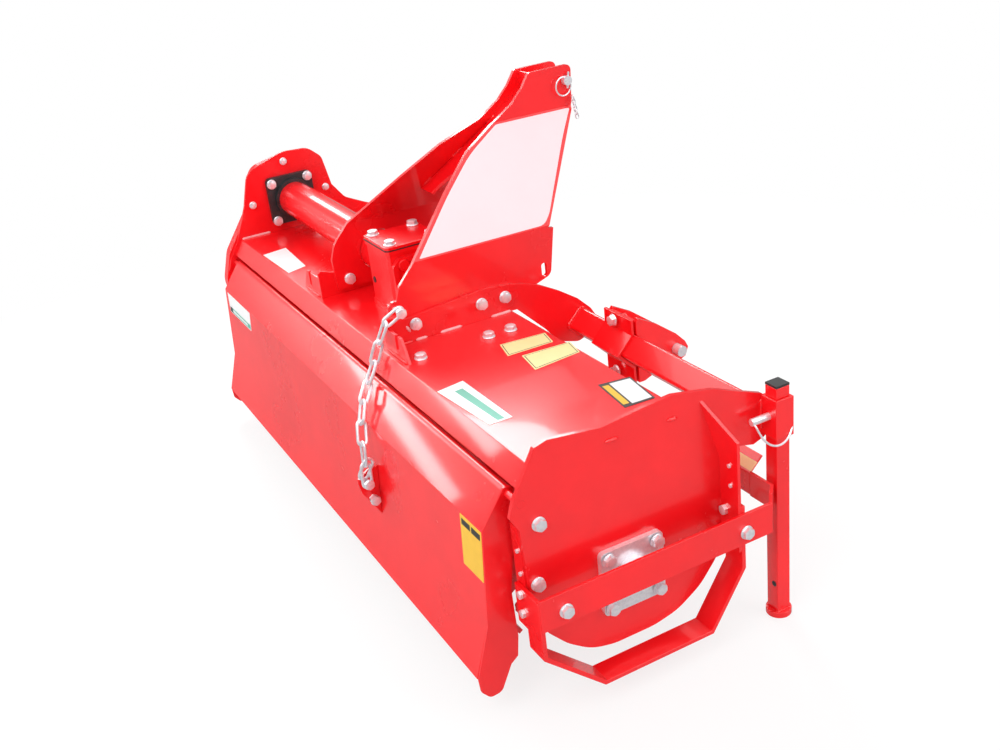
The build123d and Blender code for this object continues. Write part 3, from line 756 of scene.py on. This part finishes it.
# Weld beads of the right side, each with its mirror image on the left: both ends in millimetres
PAINTED_WELDS = [
    ((185, -140, 464), (185, -96, 464)), ((754.5, -30, 459.5), (754.5, -5, 459.5)),
    ((754.5, 88, 457), (754.5, 108, 456)), ((188, -150.5, 464), (276, -150.5, 464)),
    ((754.5, 193, 200), (754.5, 193, 344)), ((755, 278, 375), (755, 278, 432)),
    ((706, -191, 180), (706, -191, 200)),
]
# Beads in a pale finish, a painted highlight that stands for the gloss on them: both ends in
# millimetres
HIGHLIGHT_WELDS = [
    ((185, -90, 464.5), (185, -66, 464.5)), ((185, -37, 464.5), (185, 10, 464.5)),
    ((185, 76, 464.5), (185, 121, 464.5)), ((184.5, -106, 498), (184.5, -99, 484)),
]
# This bead too is pale, as a painted highlight
CASE_WELD = ((-745, -158, 464), (-745, -82, 464))  # pale, at the left side plate's foot alone
BAR_CORNERS = [(284, 427.5), (319.5, 392), (284, 356.5), (248.5, 392), (284, 427.5)]
BAR_ENDS = (185, 745)
WEB_WELDS = ((668, 684), (724, 744), (790, 806))  # heights of those from web to headstock
WEB_Y, WEB_IN = 565, 9  # a web weld's y is its height less this, and how far in it lies
HIGHLIGHT_WELD_SHARE = 0.9  # width of the pale beads over that of the painted ones
BEAD_SMOOTH = 60  # degrees, up to which a bead's bends are shaded smooth


def pairs(rows, half):
    """The rows' beads and their mirror images."""
    return [bead(at(side * a[0], *a[1:]), at(side * b[0], *b[1:]), half)
            for side, _ in SIDES for a, b in rows]


class Welds(bpy.types.Operator):
    """Weld beads along the feet and ends of the plates, some of them pale as a painted
    highlight
    """
    bl_idname = "rotavator.welds"
    bl_label = "Welds"

    def execute(self, context):
        half = context.scene.rotavator_sizes.bead
        corners = list(zip(BAR_CORNERS, BAR_CORNERS[1:]))
        rows = PAINTED_WELDS + [((x, *a), (x, *b)) for x in BAR_ENDS for a, b in corners]
        rows += [tuple((slope_x(z) - WEB_IN, z - WEB_Y, z) for z in ends)
                 for ends in WEB_WELDS]
        make("weld_beads", pairs(rows, half), finishes()["paint"], "frame", BEAD_SMOOTH)
        # the pale beads: painted highlight
        half *= HIGHLIGHT_WELD_SHARE
        case = bead(*(at(*p) for p in CASE_WELD), half)
        make("foot_welds_painted_highlight", [case] + pairs(HIGHLIGHT_WELDS, half), finishes()["weld"], "frame",
             BEAD_SMOOTH)
        return {"FINISHED"}


# Across flats, height and washer radius of the bolts of the gearbox cover and the drive case
COVER_BOLT, CASE_BOLT, CASE_PLUG = (
    (0.019, 0.008, 0.013), (0.013, 0.0055, 0.009), (0.022, 0.008, 0.014))
COVER_MARGIN = 0.017  # from the cover's edges to its bolts
# Black strip under the cover, painted shade of the gap between cover and box: cut of its
# corners, how far it stands out and up, and its thickness
SHADOW_GAP_CUT, SHADOW_GAP_PROUD, SHADOW_GAP_UP, SHADOW_GAP_TALL = 0.0065, 0.0006, 0.0004, 0.0022
# Gearbox: profile of the plug for the oil level, size of a black disc on the rear face that is
# painted shade of a small hole, and both places
LEVEL_PLUG = [(0, 0), (0.0125, 0), (0.0125, 0.005), (0.0105, 0.0085), (0, 0.0095)]
HOLE_SHADE_DISC = (0.0065, 0.0015)
LEVEL_AT, HOLE_SHADE_AT = (48, -40, 571), (-51, -68, 519)
# Line of the drive case's bolts, set in from its outline: y, z in millimetres
CASE_RIM = [(-90, 600), (-112, 520), (-182, 428), (-202, 356), (-186, 288), (-98, 142),
            (-50, 114), (50, 114), (94, 160), (99, 250), (82, 560), (62, 616)]
CASE_BOLTS = 17
CASE_PLUG_AT = (-20, 470)


class Driveline(bpy.types.Operator):
    """Splined input shaft, the bolts and plugs of the gearbox and the drive case, and black
    pieces that are painted shade in the gearbox's gap and hole
    """
    bl_idname = "rotavator.driveline"
    bl_label = "Driveline details"

    def execute(self, context):
        coats = finishes()
        low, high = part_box("input_shaft")
        place = middle("input_shaft")
        place.y = low.y
        shaft = make("input_shaft_splined",
                     [splined(place, FRONT, high.y - low.y)], coats["steel"],
                     BODY["input_shaft"], 30)
        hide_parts("input_shaft")

        low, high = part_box("gearbox_cover")
        make("gearbox_bolts", [hex_head((x, y, high.z), UP, *COVER_BOLT)
                               for x in (low.x + COVER_MARGIN, high.x - COVER_MARGIN)
                               for y in (low.y + COVER_MARGIN, high.y - COVER_MARGIN)],
             coats["zinc"], "frame")
        cut, proud = SHADOW_GAP_CUT, SHADOW_GAP_PROUD
        x0, x1, y0, y1 = low.x - proud, high.x + proud, low.y - proud, high.y + proud
        outline = [(x0 + cut, y0), (x1 - cut, y0), (x1, y0 + cut), (x1, y1 - cut),
                   (x1 - cut, y1), (x0 + cut, y1), (x0, y1 - cut), (x0, y0 + cut)]
        # black strip under the cover: painted shade of the gap
        make("gearbox_shadow_gap", [plate([(x, y, low.z + SHADOW_GAP_UP) for x, y in outline],
                                      DOWN, SHADOW_GAP_TALL)], coats["plastic"], "frame")
        make("gearbox_level_plug", [turned(LEVEL_PLUG, at(*LEVEL_AT), OUT)], coats["cast"],
             "frame")
        # black disc: painted shade of a small hole in the gearbox's rear face
        make("gearbox_hole_shade", [turned(drum(*HOLE_SHADE_DISC), at(*HOLE_SHADE_AT), REAR)],
             coats["black"], "frame")

        # the case's bolts stand at even steps along the rim
        rim = np.array(CASE_RIM, float)
        way = np.concatenate([[0], np.cumsum(np.linalg.norm(np.diff(rim, axis=0), axis=1))])
        s = np.linspace(0, way[-1], CASE_BOLTS)
        places = list(zip(np.interp(s, way, rim[:, 0]), np.interp(s, way, rim[:, 1])))
        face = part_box("drive_case")[0].x
        parts = [hex_head((face, *at(0, y, z).yz), IN, *size)
                 for (y, z), size in zip(places + [CASE_PLUG_AT],
                                         [CASE_BOLT] * CASE_BOLTS + [CASE_PLUG])]
        make("case_cover_bolts", parts, coats["zinc"], "frame")
        return {"FINISHED"}


# Rotor: flanges along it, tines on each, the step in degrees from flange to flange, half the
# length that they share, and how far in from the wings it ends
FLANGES, TINES, TINE_STEP = 6, 4, 15.0
WING_X, FLANGE_IN = 712, 12
TINE_BOLTS = ((14, 74), (18, 98))  # y, z of a tine's bolts, in millimetres
TINE_HEAD, TINE_NUT = (0.017, 0.007, 0.011), (0.017, 0.009)  # as the bolts' sizes above
FLANGE_HEAD, FLANGE_NUT = 0.013, 0.005  # from the flange's middle to head and nut


class Tines(bpy.types.Operator):
    """Bolts that hold the tines to the rotor's flanges"""
    bl_idname = "rotavator.tines"
    bl_label = "Tine bolts"

    def execute(self, context):
        pitch = 2 * (WING_X - FLANGE_IN) / FLANGES
        parts = []
        for k in range(FLANGES):
            x = (k - (FLANGES - 1) / 2) * pitch / 1000
            lead = 180 + TINE_STEP - 2 * TINE_STEP * min(k, FLANGES - 1 - k)
            for i in range(TINES):
                side = 1 if i % 2 else -1
                turn = Matrix.Rotation(radians(lead + 360 / TINES * i), 3, "X")
                for y, z in TINE_BOLTS:
                    place = AXIS + turn @ Vector((0, y, z)) / 1000
                    head = Vector((x + side * FLANGE_HEAD, place.y, place.z))
                    nut = Vector((x - side * FLANGE_NUT, place.y, place.z))
                    parts.append(hex_head(head, (side, 0, 0), *TINE_HEAD))
                    parts.append(hex_head(nut, (-side, 0, 0), *TINE_NUT))
        make("tine_bolts", parts, finishes()["zinc"], "rotor")
        return {"FINISHED"}


# Camera: its place in millimetres, its right, up and backward directions, and its focal length
# over the width of its frame
CAMERA_PLACE = (2080.88, -833.587, 1315.73)
CAMERA_AXES = ((0.47653892, 0.87236759, -0.1090204), (-0.32585736, 0.29043891, 0.89970118),
               (0.81653392, -0.39321753, 0.42267284))
SENSOR, FOCAL = 36.0, 1.136588
# Floor: half its width and its depth under the object in metres, how white it looks near the
# object and far away, between which distances that changes, and its glow in the gloss
FLOOR_HALF, FLOOR_Z = 40, -0.0005
FLOOR_WHITE, FLOOR_FADE, FLOOR_GLOW = (0.8, 1.0), (0.9, 2.2), 0.4
# Sky: its light, and how the gloss mirrors it, from low down to overhead
SKY, SKY_RISE, SKY_GLOSS = 0.62, (0.35, 0.9), (0.25, 2.6)
# Lamps: name, place in metres, power in watts, width and height; all point at AIM
AIM = (0, 0, 0.35)
LAMPS = [
    ("key light", (1.6, -2.6, 3.4), 85, 2.6, 2.6),
    ("fill light", (3.0, 2.2, 2.2), 42, 2.4, 2.4),
    ("rear light", (-2.6, -1.8, 2.6), 32, 2.4, 2.4),
    ("window light", (-2.7, 0.85, 2.6), 70, 1.6, 1.6),
    ("tube light", (-2.7, 0.2, 1.6), 4.5, 0.45, 0.45),
    ("rear window", (-2.7, -1.6, 1.62), 9, 0.55, 0.55),
    ("strip light", (-2.4, -1.7, 0.9), 4.5, 1.3, 0.08),
]


def place_camera(scene):
    """The camera, turned by the matrix whose columns are its axes."""
    camera = bpy.data.cameras.new("studio camera")
    camera.sensor_width, camera.lens = SENSOR, SENSOR * FOCAL
    holder = bpy.data.objects.new("studio_camera", camera)
    turn = Matrix(CAMERA_AXES).transposed().to_4x4()
    holder.matrix_world = Matrix.Translation(at(*CAMERA_PLACE)) @ turn
    scene.collection.objects.link(holder)
    scene.camera = holder


def ramp(nodes, given, result):
    """A node that carries the span given to the span result."""
    node = nodes.new("ShaderNodeMapRange")
    node.inputs["From Min"].default_value, node.inputs["From Max"].default_value = given
    node.inputs["To Min"].default_value, node.inputs["To Max"].default_value = result
    return node


def floor_coat(colour):
    """Floor finish: seen directly it is mostly a plain white that keeps the shadows, and all
    white far from the object. The gloss mirrors it dimmed."""
    coat = bpy.data.materials.new("studio floor")
    coat.use_nodes = True
    link, nodes = coat.node_tree.links.new, coat.node_tree.nodes
    shader = nodes["Principled BSDF"]
    shader.inputs["Base Color"].default_value = (*colour, 1)
    shader.inputs["Roughness"].default_value = 0.6
    plain, dim, place, away, path, share, both, mirrored = (
        nodes.new("ShaderNode" + kind)
        for kind in ("Emission", "Emission", "TexCoord", "VectorMath", "LightPath", "Math",
                     "MixShader", "MixShader"))
    plain.inputs["Strength"].default_value = 1.0
    dim.inputs["Strength"].default_value = FLOOR_GLOW
    away.operation, share.operation = "LENGTH", "MULTIPLY"
    far = ramp(nodes, FLOOR_FADE, FLOOR_WHITE)
    link(place.outputs["Object"], away.inputs[0])
    link(away.outputs["Value"], far.inputs["Value"])
    link(far.outputs["Result"], share.inputs[0])
    link(path.outputs["Is Camera Ray"], share.inputs[1])
    link(share.outputs["Value"], both.inputs["Fac"])
    link(path.outputs["Is Glossy Ray"], mirrored.inputs["Fac"])
    link(shader.outputs["BSDF"], mirrored.inputs[1])
    link(dim.outputs["Emission"], mirrored.inputs[2])
    link(mirrored.outputs["Shader"], both.inputs[1])
    link(plain.outputs["Emission"], both.inputs[2])
    link(both.outputs["Shader"], nodes["Material Output"].inputs["Surface"])
    return coat


def lay_floor(scene, colour):
    """The floor, one wide square just under the object."""
    mesh = bpy.data.meshes.new("studio_floor")
    h = FLOOR_HALF
    mesh.from_pydata([(-h, -h, FLOOR_Z), (h, -h, FLOOR_Z), (h, h, FLOOR_Z), (-h, h, FLOOR_Z)],
                     [], [(0, 1, 2, 3)])
    mesh.materials.append(floor_coat(colour))
    floor = bpy.data.objects.new("studio_floor", mesh)
    scene.collection.objects.link(floor)


def light_sky(scene):
    """White sky: plain to the camera, softer as light, and to the gloss darker low down and
    bright overhead."""
    world = bpy.data.worlds.new("studio world")
    scene.world = world
    world.use_nodes = True
    link, nodes = world.node_tree.links.new, world.node_tree.nodes
    sky = nodes["Background"]
    sky.inputs["Color"].default_value = (1, 1, 1, 1)
    sky.inputs["Strength"].default_value = SKY
    white, gloss, path, way, parts, seen, mirrored = (
        nodes.new("ShaderNode" + kind)
        for kind in ("Background", "Background", "LightPath", "TexCoord", "SeparateXYZ",
                     "MixShader", "MixShader"))
    white.inputs["Strength"].default_value = 1.0
    rise = ramp(nodes, SKY_RISE, SKY_GLOSS)
    rise.interpolation_type = "SMOOTHSTEP"
    link(way.outputs["Generated"], parts.inputs["Vector"])
    link(parts.outputs["Z"], rise.inputs["Value"])
    link(rise.outputs["Result"], gloss.inputs["Strength"])
    link(path.outputs["Is Glossy Ray"], mirrored.inputs["Fac"])
    link(sky.outputs["Background"], mirrored.inputs[1])
    link(gloss.outputs["Background"], mirrored.inputs[2])
    link(path.outputs["Is Camera Ray"], seen.inputs["Fac"])
    link(mirrored.outputs["Shader"], seen.inputs[1])
    link(white.outputs["Background"], seen.inputs[2])
    link(seen.outputs["Shader"], nodes["World Output"].inputs["Surface"])


def hang_lamps(scene):
    """The lamps, flat panels that face the object."""
    for name, place, power, wide, high in LAMPS:
        lamp = bpy.data.lights.new(name, "AREA")
        lamp.shape = "RECTANGLE"
        lamp.energy, lamp.size, lamp.size_y = power, wide, high
        holder = bpy.data.objects.new(name.replace(" ", "_"), lamp)
        aim = (Vector(AIM) - Vector(place)).to_track_quat("-Z", "Y").to_matrix().to_4x4()
        holder.matrix_world = Matrix.Translation(place) @ aim
        scene.collection.objects.link(holder)


class StudioStage(bpy.types.Operator):
    """Camera, floor and soft studio light"""
    bl_idname = "rotavator.stage"
    bl_label = "Studio stage"

    def execute(self, context):
        scene = context.scene
        place_camera(scene)
        lay_floor(scene, scene.rotavator_colours.floor)
        light_sky(scene)
        hang_lamps(scene)
        scene.view_settings.view_transform = "Standard"
        return {"FINISHED"}


OPERATORS = (StudioStage, PaintPlates, FrameBolts, Labels, TailboardChain, Clips, Welds,
             Driveline, Tines)


class RotavatorPanel(bpy.types.Panel):
    bl_label = "Rotavator"
    bl_idname = "VIEW3D_PT_rotavator"
    bl_space_type = "VIEW_3D"
    bl_region_type = "UI"
    bl_category = "Rotavator"

    def draw(self, context):
        scene = context.scene
        for group in (scene.rotavator_colours, scene.rotavator_sizes):
            for key in group.bl_rna.properties.keys():
                if key not in ("rna_type", "name"):
                    self.layout.prop(group, key)
        for operator in OPERATORS:
            self.layout.operator(operator.bl_idname)


CLASSES = (RotavatorColours, RotavatorSizes, *OPERATORS, RotavatorPanel)


def register():
    for cls in CLASSES:
        bpy.utils.register_class(cls)
    bpy.types.Scene.rotavator_colours = bpy.props.PointerProperty(type=RotavatorColours)
    bpy.types.Scene.rotavator_sizes = bpy.props.PointerProperty(type=RotavatorSizes)


def unregister():
    del bpy.types.Scene.rotavator_sizes, bpy.types.Scene.rotavator_colours
    for cls in reversed(CLASSES):
        bpy.utils.unregister_class(cls)


def main():
    register()
    for operator in OPERATORS:
        group, name = operator.bl_idname.split(".")
        getattr(getattr(bpy.ops, group), name)()


if __name__ == "__main__":
    main()
